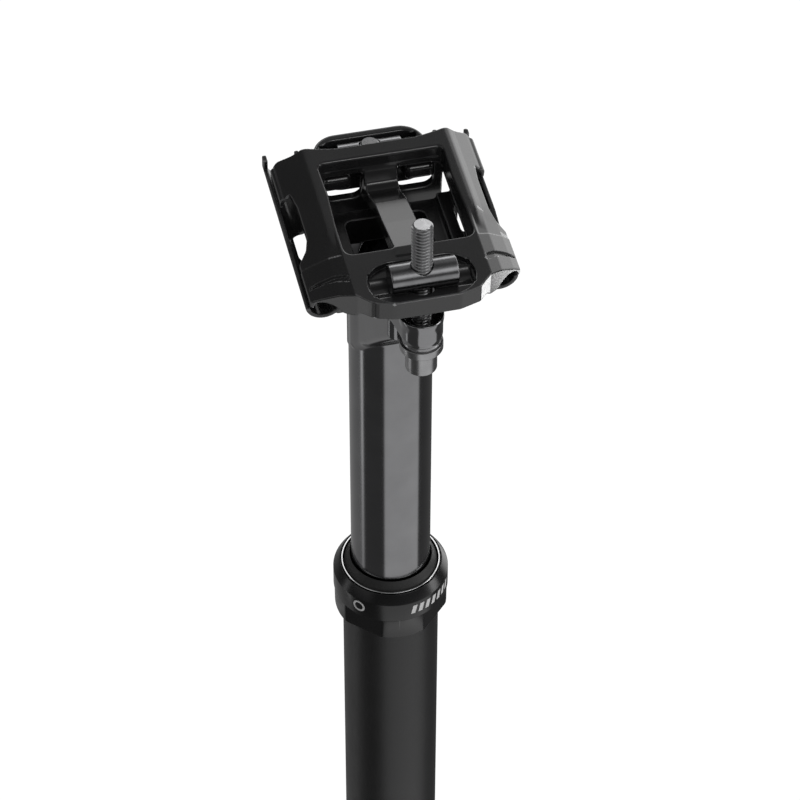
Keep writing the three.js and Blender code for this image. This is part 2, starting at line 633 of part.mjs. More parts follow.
// Cross-section of the cradle's groove under a rail.
function troughSection() {
  const s = new THREE.Shape()
  s.absarc(RAIL_X, RAIL_Z - GAP, CRADLE_GROOVE_R + CRADLE_WALL, Math.PI, 2 * Math.PI)
  s.absarc(RAIL_X, RAIL_Z - GAP, CRADLE_GROOVE_R, 0, -Math.PI, true)
  return s
}

function lowerCradle() {
  const outerR = CRADLE_GROOVE_R + CRADLE_WALL
  const earFoot = RAIL_Z - GAP - 0.2
  const trough = alongY(troughSection(), CRADLE_FRONT, CRADLE_REAR, 12)
  const outerEar = box(RAIL_X + CRADLE_GROOVE_R, RAIL_X + outerR, EAR_FRONT, CRADLE_REAR, earFoot, EAR_TOP)
  const innerEar = box(RAIL_X - outerR, RAIL_X - CRADLE_GROOVE_R, EAR_FRONT, CRADLE_REAR, earFoot, EAR_TOP)
  const link = box(LINK_INNER, SADDLE_HALF_X, CRADLE_FRONT, CRADLE_HALF_Y, LINK_BOTTOM, LINK_TOP)
  const saddle = cut(
    box(-SADDLE_HALF_X, SADDLE_HALF_X, -CRADLE_HALF_Y, CRADLE_HALF_Y, SADDLE_BOTTOM, SADDLE_TOP),
    box(-SADDLE_OPENING_X, SADDLE_OPENING_X, -SADDLE_OPENING_Y, SADDLE_OPENING_Y, SADDLE_BOTTOM - 2, 0),
  ).intersect(rodX(SEAT_R - GAP, 60, 0, 0, SEAT_AXIS_Z, 72))
  const slot = alongZ(roundedRect(SLOT_INNER, SLOT_OUTER, SLOT_FRONT, SLOT_REAR, 2.4), -6, 0, 6)
  const side = cut(join(trough, outerEar, innerEar, link), slot)
  return join(bothSides(side), cut(saddle, bothSides(slot)))
}

// A barrel nut lying along x, centred on its own axis, tapped for an upright bolt.
const barrelNut = (slip) =>
  cut(rodX(NUT_R, NUT_LENGTH, slip, 0, 0, 32), rod(BOLT_R + GAP, -NUT_R - 1, NUT_R + 1).rotate([-CLAMP_PITCH, 0, 0]))

// ---- clamp bolts: M6 socket screws pointing up, with their washers ----
function clampBolt(bottom) {
  const headTop = bottom + BOLT_HEAD_HEIGHT
  const head = turned([
    [0, bottom],
    [BOLT_HEAD_R - 0.5, bottom],
    [BOLT_HEAD_R, bottom + 0.5],
    [BOLT_HEAD_R, headTop],
    [BOLT_R, headTop],
    [BOLT_R, bottom + BOLT_LENGTH - 0.6],
    [BOLT_R - 0.6, bottom + BOLT_LENGTH],
    [0, bottom + BOLT_LENGTH],
  ], COARSE)
  return cut(head, hexagon(4, bottom - 1, bottom + 3.5))
}

const washer = (z) => tube(BOLT_R + GAP, WASHER_R, z, z + WASHER_THICK, COARSE)

// ---- the whole post ----
function placed(item, x, y, z) {
  item.position.set(x, y, z)
  return item
}

function fixedPieces() {
  return [
    mesh('lower_tube', lowerTube(), SATIN_BLACK),
    mesh('collar', collar(), ANODISED),
    mesh('collar_ring', collarRing(), BRIGHT),
    mesh('collar_seal', collarSeal(), RUBBER),
    mesh('wiper_seal', wiperSeal(), RUBBER),
    mesh('upper_bushing', upperBushing(), BEARING),
    mesh('cartridge_rod', cartridgeRod(), BRIGHT),
    mesh('main_piston', mainPiston(), BRASS),
    mesh('rod_nut', rodNut(), STEEL),
    mesh('actuator_housing', actuatorHousing(), ANODISED),
    mesh('lever_pivot_pin', pivotPin(), STEEL),
    mesh('lever_spring', leverSpring(), STEEL),
    mesh('push_pin', pushPin(), BRIGHT),
    mesh('release_lever', releaseLever(), ANODISED),
    mesh('cable_barrel', cableBarrel(), BRASS),
  ]
}

function slidingPieces() {
  const keys = KEY_ANGLES.map((angle, i) => mesh(`guide_key_${i + 1}`, guideKey(angle), BRASS))
  return [
    mesh('upper_post', upperPost(), POST_BLACK),
    ...keys,
    mesh('lower_bushing', lowerBushing(), BEARING),
    mesh('top_out_bumper', topOutBumper(), RUBBER),
    mesh('cartridge_body', cartridgeBody(), STEEL),
    mesh('cartridge_top_plug', cartridgeTopPlug(), STEEL),
    mesh('cartridge_nut', cartridgeNut(), STEEL),
    mesh('cartridge_seal_head', cartridgeSealHead(), BEARING),
    mesh('floating_piston', floatingPiston(), BRASS),
  ]
}

function boltPieces() {
  const frontWasher = FRONT_BOLT_BOTTOM + BOLT_HEAD_HEIGHT + GAP
  const rearWasher = REAR_BOLT_BOTTOM + BOLT_HEAD_HEIGHT + GAP
  return [
    placed(mesh('front_bolt', clampBolt(FRONT_BOLT_BOTTOM), STEEL), 0, FRONT_BOLT_Y, 0),
    placed(mesh('rear_bolt', clampBolt(REAR_BOLT_BOTTOM), STEEL), 0, REAR_BOLT_Y, 0),
    placed(mesh('front_washer', washer(frontWasher), STEEL), 0, FRONT_BOLT_Y, 0),
    placed(mesh('rear_washer', washer(rearWasher), STEEL), 0, REAR_BOLT_Y, 0),
  ]
}

function clampPieces() {
  const clamp = new THREE.Group()
  clamp.position.set(0, CLAMP_Y, CLAMP_Z)
  clamp.rotation.x = radians(CLAMP_PITCH)
  clamp.add(
    mesh('top_clamp', topClamp(), ANODISED),
    placed(mesh('lower_cradle', lowerCradle(), ANODISED), CRADLE_X, 0, 0),
    placed(mesh('front_barrel_nut', barrelNut(NUT_SLIP), STEEL), 0, FRONT_POCKET_Y, FRONT_NUT_Z),
    placed(mesh('rear_barrel_nut', barrelNut(0), STEEL), 0, REAR_POCKET_Y, REAR_NUT_Z),
  )
  return clamp
}

const seatpost = new THREE.Group()
seatpost.add(...fixedPieces(), ...slidingPieces(), ...boltPieces(), clampPieces())

export default seatpost
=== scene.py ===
"""Looks of a height-adjustable seatpost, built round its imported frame.

Shapes are made in millimetres and turned to metres last. The clamp has a frame of its own: x to the
side, y towards the saddle's tail and z up, leaning nose-down on the post.
"""
import json
import math

import bpy
import numpy as np
from mathutils import Matrix, Vector


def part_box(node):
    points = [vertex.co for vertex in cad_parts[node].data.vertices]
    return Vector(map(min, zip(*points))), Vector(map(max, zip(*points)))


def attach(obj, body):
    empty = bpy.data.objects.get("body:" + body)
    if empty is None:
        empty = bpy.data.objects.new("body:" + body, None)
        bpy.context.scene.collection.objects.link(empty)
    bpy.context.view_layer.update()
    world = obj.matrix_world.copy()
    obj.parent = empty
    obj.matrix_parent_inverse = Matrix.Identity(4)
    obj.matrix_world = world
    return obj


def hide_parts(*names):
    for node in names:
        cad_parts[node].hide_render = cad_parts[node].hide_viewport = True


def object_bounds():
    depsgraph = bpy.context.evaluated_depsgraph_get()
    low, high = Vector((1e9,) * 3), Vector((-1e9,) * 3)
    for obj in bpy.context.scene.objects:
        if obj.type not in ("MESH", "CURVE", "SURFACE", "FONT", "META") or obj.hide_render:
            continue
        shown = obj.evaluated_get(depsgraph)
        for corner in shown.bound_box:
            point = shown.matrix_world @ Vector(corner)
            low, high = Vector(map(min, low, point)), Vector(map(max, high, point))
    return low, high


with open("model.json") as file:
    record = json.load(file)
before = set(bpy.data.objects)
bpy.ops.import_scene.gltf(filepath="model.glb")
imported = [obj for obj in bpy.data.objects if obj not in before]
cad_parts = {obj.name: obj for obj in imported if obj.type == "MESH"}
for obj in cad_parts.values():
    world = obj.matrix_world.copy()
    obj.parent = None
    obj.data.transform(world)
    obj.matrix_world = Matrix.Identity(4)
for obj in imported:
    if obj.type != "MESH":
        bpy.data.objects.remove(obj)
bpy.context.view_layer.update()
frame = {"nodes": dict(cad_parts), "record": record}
MM = 0.001

# ---- driving dimensions, in millimetres ----
POST_R = 11.14
TUBE_R = 13.6
BOSS_R = 5.4
CLAMP_Y, CLAMP_Z, CLAMP_PITCH = -5.0, 141.5, 4.1
PLATE_TOP, PLATE_BOTTOM = 11.8, 6.2
RAIL_X, RAIL_Z, GROOVE_R = 22.6, 1.8, 3.5
WING_X = 26.9
BEAD_X, BEAD_Z, BEAD_R, BEAD_FRONT = 25.7, 3.6, 1.2, 13.6
CRADLE_X, CRADLE_GROOVE_R, CRADLE_WALL = -0.6, 3.65, 1.15
FRONT_POCKET_Y, REAR_POCKET_Y = -27.3, 28.2
REAR_POCKET_TOP, REAR_POCKET_BOTTOM = 4.5, -3.6
FRONT_NUT_Z, REAR_NUT_Z = 12.8, 1.7
NUT_R = 3.7
BOLT_R, THREAD_PITCH = 2.68, 1.0
COLLAR_R, COLLAR_FOOT_R = 16.24, 15.93
BOSS_HEIGHT, ARM_BOTTOM = 7.8, 99.6
WINDOW_REAR, PLATE_REAR = 17.2, 21.9


# ---- signed distance fields: negative inside, in millimetres ----
def both(a, b, r=0.0):
    """Where a and b overlap, the edge between them rounded to radius r."""
    if r <= 0:
        return np.maximum(a, b)
    corner = np.sqrt(np.maximum(a + r, 0) ** 2 + np.maximum(b + r, 0) ** 2)
    return np.minimum(np.maximum(a, b), -r) + corner


def either(a, b, r=0.0):
    """a joined to b, with a fillet of radius r between them."""
    return -both(-a, -b, r)


def minus(a, b, r=0.0):
    """a with b cut out of it, the edge rounded to radius r."""
    return both(a, -b, r)


def outline(u, v, points):
    """Distance to a closed polygon in the u, v plane."""
    p = np.asarray(points, float)
    nearest = None
    inside = None
    for (au, av), (bu, bv) in zip(p, np.roll(p, -1, 0)):
        du, dv = bu - au, bv - av
        length = du * du + dv * dv
        if length < 1e-12:
            continue
        t = np.clip(((u - au) * du + (v - av) * dv) / length, 0, 1)
        d = (u - au - t * du) ** 2 + (v - av - t * dv) ** 2
        nearest = d if nearest is None else np.minimum(nearest, d)
        crosses = ((av > v) != (bv > v)) & (u < au + (v - av) * du / (dv if dv else 1e-12))
        inside = crosses if inside is None else inside ^ crosses
    return np.where(inside, -1.0, 1.0) * np.sqrt(nearest)


def slab(w, low, high):
    return np.abs(w - (low + high) / 2) - (high - low) / 2


def round_bar(u, v, cu, cv, r):
    return np.sqrt((u - cu) ** 2 + (v - cv) ** 2) - r


def stadium(u, v, half, r, cv):
    """A slot along u with round ends."""
    return np.sqrt(np.maximum(np.abs(u) - half, 0) ** 2 + (v - cv) ** 2) - r


def block(x, y, z, low, high, r=0.4):
    """A box with rounded edges."""
    d = [np.abs(w - (a + b) / 2) - (b - a) / 2 + r for w, a, b in zip((x, y, z), low, high)]
    outside = sum(np.maximum(q, 0) ** 2 for q in d)
    return np.sqrt(outside) + np.minimum(np.maximum(np.maximum(d[0], d[1]), d[2]), 0) - r


def rectangle(u, v, low, high, r):
    du = np.abs(u - (low[0] + high[0]) / 2) - (high[0] - low[0]) / 2 + r
    dv = np.abs(v - (low[1] + high[1]) / 2) - (high[1] - low[1]) / 2 + r
    return np.sqrt(np.maximum(du, 0) ** 2 + np.maximum(dv, 0) ** 2) + np.minimum(np.maximum(du, dv), 0) - r


def eased(points):
    """A polygon whose corners, given as (u, v, radius), are turned into arcs."""
    out = []
    n = len(points)
    for i, (u, v, r) in enumerate(points):
        at = Vector((u, v))
        back = Vector(points[i - 1][:2]) - at
        on = Vector(points[(i + 1) % n][:2]) - at
        turn = back.angle(on)
        reach = min(r / max(math.tan(turn / 2), 1e-6), 0.48 * back.length, 0.48 * on.length)
        if reach < 0.02 or math.pi - turn < 0.01:
            out.append((u, v))
            continue
        first, last = at + back.normalized() * reach, at + on.normalized() * reach
        steps = max(2, int(math.degrees(math.pi - turn) / 9))
        for k in range(steps + 1):
            t = k / steps
            q = first * (1 - t) ** 2 + at * (2 * t * (1 - t)) + last * t**2
            out.append((q.x, q.y))
    return out


def mirrored(half):
    """A closed outline from its right half, listed from bottom middle to top middle."""
    return half + [(-u, v, r) for u, v, r in reversed(half) if abs(u) > 1e-6]


# ---- turning a field into a mesh ----
CORNERS = [(i, j, k) for i in (0, 1) for j in (0, 1) for k in (0, 1)]
EDGES = [
    (a, b) for a in range(8) for b in range(a + 1, 8)
    if sum(p != q for p, q in zip(CORNERS[a], CORNERS[b])) == 1
]


def slope(field, p, step=0.04):
    """The field's direction of growth at points p, from four nearby samples."""
    total = np.zeros_like(p)
    for sign in ((1, -1, -1), (-1, -1, 1), (-1, 1, -1), (1, 1, 1)):
        k = np.array(sign, float)
        total += k * field(*(p + k * step).T)[:, None]
    return total / np.maximum(np.linalg.norm(total, axis=1), 1e-9)[:, None]


def skin(field, xs, ys, zs):
    """Vertices, quads and normals of the field's surface on a grid of those coordinates."""
    value = np.broadcast_to(
        field(xs[:, None, None], ys[None, :, None], zs[None, None, :]), (len(xs), len(ys), len(zs))
    ).astype(np.float32)
    low = value < 0
    cells = np.zeros(tuple(n - 1 for n in value.shape), np.int8)
    for i, j, k in CORNERS:
        cells += low[i : i + cells.shape[0], j : j + cells.shape[1], k : k + cells.shape[2]]
    active = np.argwhere((cells > 0) & (cells < 8))
    number = np.full(cells.shape, -1, np.int64)
    number[tuple(active.T)] = np.arange(len(active))
    at = [active + np.array(c) for c in CORNERS]
    corner_value = [value[tuple(a.T)] for a in at]
    corner_place = [np.stack([xs[a[:, 0]], ys[a[:, 1]], zs[a[:, 2]]], 1) for a in at]
    total, count = np.zeros((len(active), 3)), np.zeros(len(active))
    for a, b in EDGES:
        va, vb = corner_value[a], corner_value[b]
        crossing = (va < 0) != (vb < 0)
        t = np.where(crossing, va / np.where(crossing, va - vb, 1), 0)[:, None]
        total += np.where(crossing[:, None], corner_place[a] * (1 - t) + corner_place[b] * t, 0)
        count += crossing
    p = total / count[:, None]
    for _ in range(2):
        d = field(*p.T)
        limit = 0.3
        p = p - np.clip(d, -limit, limit)[:, None] * slope(field, p)
    faces = []
    for axis in range(3):
        u, v = (axis + 1) % 3, (axis + 2) % 3
        ahead = np.moveaxis(low, axis, 0)
        change = np.argwhere(ahead[:-1] != ahead[1:])
        if not len(change):
            continue
        rest = [a for a in range(3) if a != axis]
        cell = np.zeros((len(change), 3), int)
        cell[:, axis] = change[:, 0]
        cell[:, rest[0]] = change[:, 1]
        cell[:, rest[1]] = change[:, 2]
        inner = (cell[:, u] > 0) & (cell[:, v] > 0)
        inner &= (cell[:, u] < cells.shape[u]) & (cell[:, v] < cells.shape[v])
        cell = cell[inner]
        starts_inside = low[tuple(cell.T)]
        ring = []
        for du, dv in ((-1, -1), (0, -1), (0, 0), (-1, 0)):
            c = cell.copy()
            c[:, u] += du
            c[:, v] += dv
            ring.append(number[tuple(c.T)])
        quad = np.stack(ring, 1)
        faces.append(np.where(starts_inside[:, None], quad, quad[:, ::-1]))
    return p, np.concatenate(faces), slope(field, p)


def clamp_matrix():
    """From the clamp's own frame to the post's, in metres."""
    lean = Matrix.Rotation(math.radians(CLAMP_PITCH), 4, "X")
    return Matrix.Scale(MM, 4) @ Matrix.Translation((0, CLAMP_Y, CLAMP_Z)) @ lean


def mesh_piece(name, verts, faces, normals=None, matrix=None):
    """An object from millimetre vertices, smooth, with the given normals."""
    matrix = matrix or Matrix.Scale(MM, 4)
    a = np.array(matrix)
    placed = np.asarray(verts) @ a[:3, :3].T + a[:3, 3]
    mesh = bpy.data.meshes.new(name)
    mesh.from_pydata(placed.tolist(), [], [list(map(int, f)) for f in faces])
    mesh.validate()
    mesh.shade_smooth()
    if normals is not None:
        turned = np.asarray(normals) @ (a[:3, :3] / MM).T
        mesh.normals_split_custom_set_from_vertices(turned.tolist())
    obj = bpy.data.objects.new(name, mesh)
    bpy.context.scene.collection.objects.link(obj)
    return obj


def field_piece(name, field, low, high, step, matrix=None, zs=None):
    xs = np.arange(low[0], high[0] + step, step)
    ys = np.arange(low[1], high[1] + step, step)
    zs = np.arange(low[2], high[2] + step, step) if zs is None else zs
    return mesh_piece(name, *skin(field, xs, ys, zs), matrix=matrix)


def lathe_piece(name, profile, sides=128, matrix=None, shape=None):
    """A turned piece from a closed profile of (radius, z, corner radius).

    shape(angle, r, z) may return another radius, which cuts flats in the round.
    """
    line = eased(profile)
    verts, faces = [], []
    for i in range(sides):
        angle = 2 * math.pi * i / sides
        for r, z in line:
            r = shape(angle, r, z) if shape else r
            verts.append((r * math.cos(angle), r * math.sin(angle), z))
    n = len(line)
    for i in range(sides):
        for k in range(n):
            a, b = i * n + k, i * n + (k + 1) % n
            c, d = (i + 1) % sides * n + (k + 1) % n, (i + 1) % sides * n + k
            faces.append((a, d, c, b))
    obj = mesh_piece(name, verts, faces, matrix=matrix)
    tidy(obj)
    return obj


def tidy(obj, crease=35):
    """Merge doubled points, face outward, keep edges sharper than crease degrees crisp."""
    import bmesh

    bm = bmesh.new()
    bm.from_mesh(obj.data)
    bmesh.ops.remove_doubles(bm, verts=bm.verts, dist=2e-6)
    bmesh.ops.recalc_face_normals(bm, faces=bm.faces)
    bm.to_mesh(obj.data)
    bm.free()
    obj.data.shade_smooth()
    obj.data.set_sharp_from_angle(angle=math.radians(crease))


def threaded_rod(name, x, y, z0, z1):
    """A clamp screw standing on end: real helical threads from z0 to z1, chamfered at the top."""
    around = 48
    rows_per_turn = 10
    depth = 0.6
    rows = int((z1 - z0) / THREAD_PITCH * rows_per_turn)
    profile = [0, 0.05, 0.35, 0.7, 0.97, 1, 0.97, 0.7, 0.35, 0.05]
    verts, faces = [], []
    for k in range(rows + 1):
        z = z0 + (z1 - z0) * k / rows
        for i in range(around):
            turn = (z - z0) / THREAD_PITCH - i / around
            phase = turn - math.floor(turn)
            crest = np.interp(phase * rows_per_turn, range(rows_per_turn + 1), profile + [0])
            r = BOLT_R - depth * (1 - crest)
            r = min(r, BOLT_R - depth + (z1 - z))
            a = 2 * math.pi * i / around
            verts.append((x + r * math.cos(a), y + r * math.sin(a), z))
    for k in range(rows):
        for i in range(around):
            j = (i + 1) % around
            faces.append((k * around + i, k * around + j, (k + 1) * around + j, (k + 1) * around + i))
    top = len(verts)
    verts.append((x, y, z1))
    bottom = len(verts)
    verts.append((x, y, z0))
    for i in range(around):
        j = (i + 1) % around
        faces.append((rows * around + i, rows * around + j, top))
        faces.append((j, i, bottom))
    obj = mesh_piece(name, verts, faces)
    tidy(obj, 32)
    return obj


# ---- the clamp's shapes, in its own frame ----
ARCH = [
    (RAIL_X + GROOVE_R * math.cos(a), RAIL_Z + GROOVE_R * math.sin(a), 0)
    for a in np.radians(np.linspace(145, 0, 15))
]
UNDERSIDE = [
    (0, PLATE_BOTTOM, 0), (15.6, PLATE_BOTTOM, 1.2), (17.0, 4.4, 0.4), (18.6, 3.9, 0.3),
    *ARCH, (WING_X, RAIL_Z, 0.2),
]
# Right half of the top clamp's cross-section: a soft shoulder behind, a crisp one in front.
REAR_SECTION = [
    *UNDERSIDE, (WING_X, 3.6, 0.8), (24.9, 5.7, 0.3), (21.3, 9.2, 2.0),
    (18.9, PLATE_TOP, 3.2), (0, PLATE_TOP, 0),
]
FRONT_SECTION = [
    *UNDERSIDE, (WING_X, 3.4, 1.0), (24.6, 5.9, 0.4), (20.6, 9.6, 3.0),
    (17.1, PLATE_TOP, 0.35), (0, PLATE_TOP, 0),
]


def clamp_plan():
    """Half of the top clamp seen from above, from the nose to the tail."""
    edge = WING_X + 0.3
    return [
        (0, -34.9, 0), (8.2, -34.9, 3), (13.6, -33.3, 1.2), (16.8, -30, 0.6), (edge, -21.8, 0.8),
        (edge, -9.0, 1.2), (24.6, -6.4, 1.5), (23.6, -3, 4), (23.6, 8, 6), (24.2, BEAD_FRONT - 1, 1),
        (24.4, BEAD_FRONT, 0), (edge, BEAD_FRONT, 0.2), (edge, 24.8, 2.0), (25.4, 27.0, 1.4), (21.4, 24.6, 6),
        (16.2, 23.1, 3), (12.4, PLATE_REAR + 0.4, 3), (9.6, PLATE_REAR, 2.5), (0, PLATE_REAR, 0),
    ]


REAR_WING, FRONT_WING = eased(mirrored(REAR_SECTION)), eased(mirrored(FRONT_SECTION))
# The nose's corners are crisp on the right and rounded on the left.
NOSE_Y, LEFT_NOSE_ROUNDING = -33, 6.0
PLAN = eased(clamp_plan() + [
    (-u, v, LEFT_NOSE_ROUNDING if v < NOSE_Y else r) for u, v, r in reversed(clamp_plan()) if u > 1e-6
])
WINDOW = eased(mirrored([
    (0, -15.6, 0), (16.4, -15.6, 2.6), (16.5, -5, 5), (16.0, 6, 6),
    (16.3, WINDOW_REAR, 1.8), (0, WINDOW_REAR, 0),
]))
WEB = eased([
    (-18.6, PLATE_TOP, 0), (-15.2, PLATE_TOP, 1.5), (-4.5, 9.1, 0.5), (5.4, 6.9, 0.5),
    (12.4, 3.2, 3), (15.0, 4.0, 1.5), (16.6, 7.4, 1), (18, 7.4, 0), (18, -2, 0), (13, -1, 2), (5.4, 2.4, 3), (-4.5, 5.0, 3), (-18.6, 7.2, 0),
])


def ease(t):
    t = np.clip(t, 0, 1)
    return t * t * (3 - 2 * t)


def wing_surface(x, y, z):
    """Distance to the plate's cross-section, crisp in front of the window and soft beside it."""
    rearward = ease((y + 13) / 8)
    return outline(x, z, REAR_WING) * rearward + outline(x, z, FRONT_WING) * (1 - rearward)


def plate_field(x, y, z):
    plate = both(wing_surface(x, y, z) + wing_marks(x, y), outline(x, y, PLAN), 0.3)
    ax = np.abs(x)
    bead = both(round_bar(ax, z, BEAD_X, BEAD_Z, BEAD_R), slab(y, BEAD_FRONT, 25.6), 0.2)
    bead = minus(bead, round_bar(ax, z, RAIL_X, RAIL_Z, GROOVE_R))
    plate = either(plate, bead, 0.15)
    return minus(plate, outline(x, y, WINDOW), 0.75)


def nut_well(x, y, z, at, axis, rim, bore=NUT_R + 0.3):
    """What a barrel nut's pocket takes away: a slot above, a trough for the nut, a slot for the bolt."""
    slot = both(stadium(x, y, 9.0, 4.2, at), slab(z, axis - 1.2, rim + 9))
    trough = both(round_bar(y, z, at, axis, bore), slab(x, -12.8, 12.8), 0.3)
    bolt = both(rectangle(x, y, (-3.4, at - 4.3), (3.4, at + 4.3), 3.3), slab(z, axis - 16, axis))
    return np.minimum(np.minimum(slot, trough), bolt)


def top_clamp_field(x, y, z):
    body = plate_field(x, y, z)
    wall_back, wall_top = WINDOW_REAR + 2.4, PLATE_BOTTOM + 2
    wall = block(x, y, z, (-16.7, WINDOW_REAR, -7.5), (16.7, wall_back, wall_top), 0.3)
    shoulders = block(x, y, z, (-18.6, WINDOW_REAR, 2.0), (18.6, wall_back, wall_top), 0.3)
    wall = np.minimum(wall, shoulders)
    ax = np.abs(x)
    port = both(rectangle(ax, z, (4.4, -2.2), (14.4, 8.0), 2.6), slab(y, 10, 20))
    wall = minus(wall, port, 0.5)
    tail = both(stadium(x, y, 8.2, 6.7, REAR_POCKET_Y), slab(z, REAR_POCKET_BOTTOM, REAR_POCKET_TOP), 1.0)
    cheeks = block(ax, y, z, (7.0, 18, 0), (14.8, REAR_POCKET_Y, REAR_POCKET_TOP), 1.5)
    cheeks = np.minimum(cheeks, block(ax, y, z, (15.2, 18, -4), (16.8, 25, REAR_POCKET_TOP), 0.3))
    spine = block(x, y, z, (-4, 17, REAR_POCKET_BOTTOM), (4, REAR_POCKET_Y - 4, REAR_NUT_Z), 0.5)
    web = both(outline(y, z, WEB), ax - 4.3, 0.4)
    body = either(body, wall, 0.6)
    body = either(body, either(either(tail, cheeks, 0.5), spine, 0.5), 0.6)
    body = either(body, web, 0.9)
    body = minus(body, nut_well(x, y, z, FRONT_POCKET_Y, FRONT_NUT_Z, PLATE_TOP), 0.3)
    body = minus(body, nut_well(x, y, z, REAR_POCKET_Y, REAR_NUT_Z, REAR_POCKET_TOP), 0.6)
    step = both(stadium(x, y, 6.8, 6.7, FRONT_POCKET_Y), slab(z, PLATE_TOP - 1.6, PLATE_TOP + 5))
    return minus(body, step, 0.4)


def wing_marks(x, y):
    """How far the wing's skin is let in: behind its step line, and in the crescent groove."""
    ax = np.abs(x)
    on_wing = ease((ax - 17.2) / 0.6)
    line = y + 15.4 - (ax - 17.3) * 0.46
    step = 0.16 * ease(0.5 + line / 0.5) * ease((-2 - y) / 7)
    sweep = (ax - 17.4) / 9.0
    middle_line = -23.4 + 7.4 * sweep - 2.2 * sweep**2
    half = 0.4 + 0.7 * np.clip(1 - sweep, 0, 1)
    groove = 0.65 * ease((half - np.abs(y - middle_line)) / 0.45 + 0.3) * ease((9.2 - (ax - 17.4)) / 1.2)
    return on_wing * (step + groove)


def cradle_field(x, y, z):
    ax = np.abs(x)
    ring_z = RAIL_Z - 0.3
    groove = round_bar(ax, z, RAIL_X, ring_z, CRADLE_GROOVE_R)
    wall = minus(round_bar(ax, z, RAIL_X, ring_z, CRADLE_GROOVE_R + CRADLE_WALL), groove, 0.3)
    top = ring_z - 0.8 * ease((4 - y) / 8)
    trough = both(both(wall, z - top, 0.3), slab(y, -21.6, 31), 0.35)
    outer_r = CRADLE_GROOVE_R + CRADLE_WALL
    outer = block(ax, y, z, (RAIL_X + CRADLE_GROOVE_R, 28.7, ring_z - 0.4), (RAIL_X + outer_r, 31, 4.4), 0.3)
    inner = block(ax, y, z, (RAIL_X - outer_r, 28.7, ring_z - 0.4), (RAIL_X - CRADLE_GROOVE_R, 31, 4.4), 0.3)
    # The right outer ear stops lower than the left one.
    right_ear_top, well_inside = 3.0, -9.0
    outer = np.maximum(outer, np.where(x > 0, z - right_ear_top, well_inside))
    body = np.minimum(trough, np.minimum(outer, inner))
    web = block(ax, y, z, (14.5, -21.6, -2.6), (19.4, 13, -0.6), 0.3)
    saddle = block(x, y, z, (-19.2, -13, -14), (19.2, 13, -2.4), 0.3)
    saddle = minus(saddle, block(x, y, z, (-10.5, -9.4, -18), (10.5, 9.4, 2), 2.0), 0.3)
    saddle = both(saddle, round_bar(y, z, 0, 6.5, 19.7), 0.3)
    body = either(either(body, web, 0.5), saddle, 0.8)
    body = minus(body, both(groove, -8 - y))
    slot = both(rectangle(ax, y, (17.6, -3), (24.6, 8), 2.4), slab(z, -8, 0))
    return minus(body, slot, 0.3)


# ---- the post's head ----
def arm_plan(x, y, at):
    """Tangent hull of the post and the boss at distance `at` in front of or behind it."""
    side = math.copysign(1, at)
    lean = math.asin((POST_R - BOSS_R) / abs(at))
    edge = [(BOSS_R * math.cos(lean), at + side * BOSS_R * math.sin(lean)),
            (POST_R * math.cos(lean), side * POST_R * math.sin(lean))]
    ribbon = edge + [(-u, v) for u, v in reversed(edge)]
    hull = outline(x, y, ribbon)
    return np.minimum(np.minimum(hull, round_bar(x, y, 0, at, BOSS_R)), round_bar(x, y, 0, 0, POST_R - 3))


def arm_scoop(at, bottom, web_z, post_z):
    """What is taken away under an arm: it drops behind the washer, then curves down to the post."""
    side = math.copysign(1, at)
    web_y = at - side * 6.2
    start, end = Vector((web_y, web_z)), Vector((side * POST_R, post_z))
    pull = (start + end) / 2 + Vector((0, 0.5))
    curve = []
    for k in range(13):
        t = k / 12
        curve.append(tuple(start * (1 - t) ** 2 + pull * 2 * t * (1 - t) + end * t**2))
    return [(at + side * 20, bottom), (web_y, bottom), *curve, (side * 4, post_z - 6.5),
            (side * 4, ARM_BOTTOM - 1), (at + side * 20, ARM_BOTTOM - 1)]


def arm_field(x, y, z, at, top, web_z, post_z):
    bottom = top - BOSS_HEIGHT
    body = both(arm_plan(x, y, at), slab(z, max(ARM_BOTTOM, post_z - 7), top), 0.3)
    body = minus(body, outline(y, z, arm_scoop(at, bottom, web_z, post_z)), 1.9)
    boss = both(round_bar(x, y, 0, at, 5.15 + 0.5 * ease((z - top + 3.5) / 3)), slab(z, bottom, top), 0.25)
    body = either(body, boss, 0.4)
    body = minus(body, both(round_bar(x, y, 0, at, 4.75), bottom + 2.5 - z), 0.15)
    return minus(body, both(round_bar(x, y, 0, at, 3.5), slab(z, bottom - 5, top + 5)), 0.2)


def post_field(x, y, z):
    front_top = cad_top("front_washer") + 0.3 + BOSS_HEIGHT
    rear_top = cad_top("rear_washer") + 0.3 + BOSS_HEIGHT
    shaft = both(round_bar(x, y, 0, 0, POST_R), slab(z, -78, 139.2), 0.3)
    foot = both(round_bar(x, y, 0, 0, 11.9), slab(z, -78, -37), 0.3)
    body = either(np.minimum(shaft, foot), arm_field(x, y, z, FRONT_BOLT_Y, front_top, 125.6, 110), 1.2)
    body = either(body, arm_field(x, y, z, REAR_BOLT_Y, rear_top, 107, 103), 1.2)
    body = minus(body, round_bar(y, z, *SEAT, 20), 0.4)
    body = minus(body, both(round_bar(x, y, 0, 0, 9.9), z - 106), 0.3)
    body = minus(body, both(round_bar(x, y, 0, 0, 8), 112 - z), 0.4)
    body = minus(body, round_bar(x, y, 0, 0, 4.5))
    return minus(body, both(both(7 - y, 133 - z), y - 50), 0.5)


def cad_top(node):
    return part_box(node)[1].z / MM


def middle(node):
    low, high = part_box(node)
    return (low + high) / 2 / MM


FRONT_BOLT_Y = middle("front_bolt").y
REAR_BOLT_Y = middle("rear_bolt").y
_seat = Matrix.Rotation(math.radians(CLAMP_PITCH), 3, "X") @ Vector((0, 0, 6.5))
SEAT = (CLAMP_Y + _seat.y, CLAMP_Z + _seat.z)


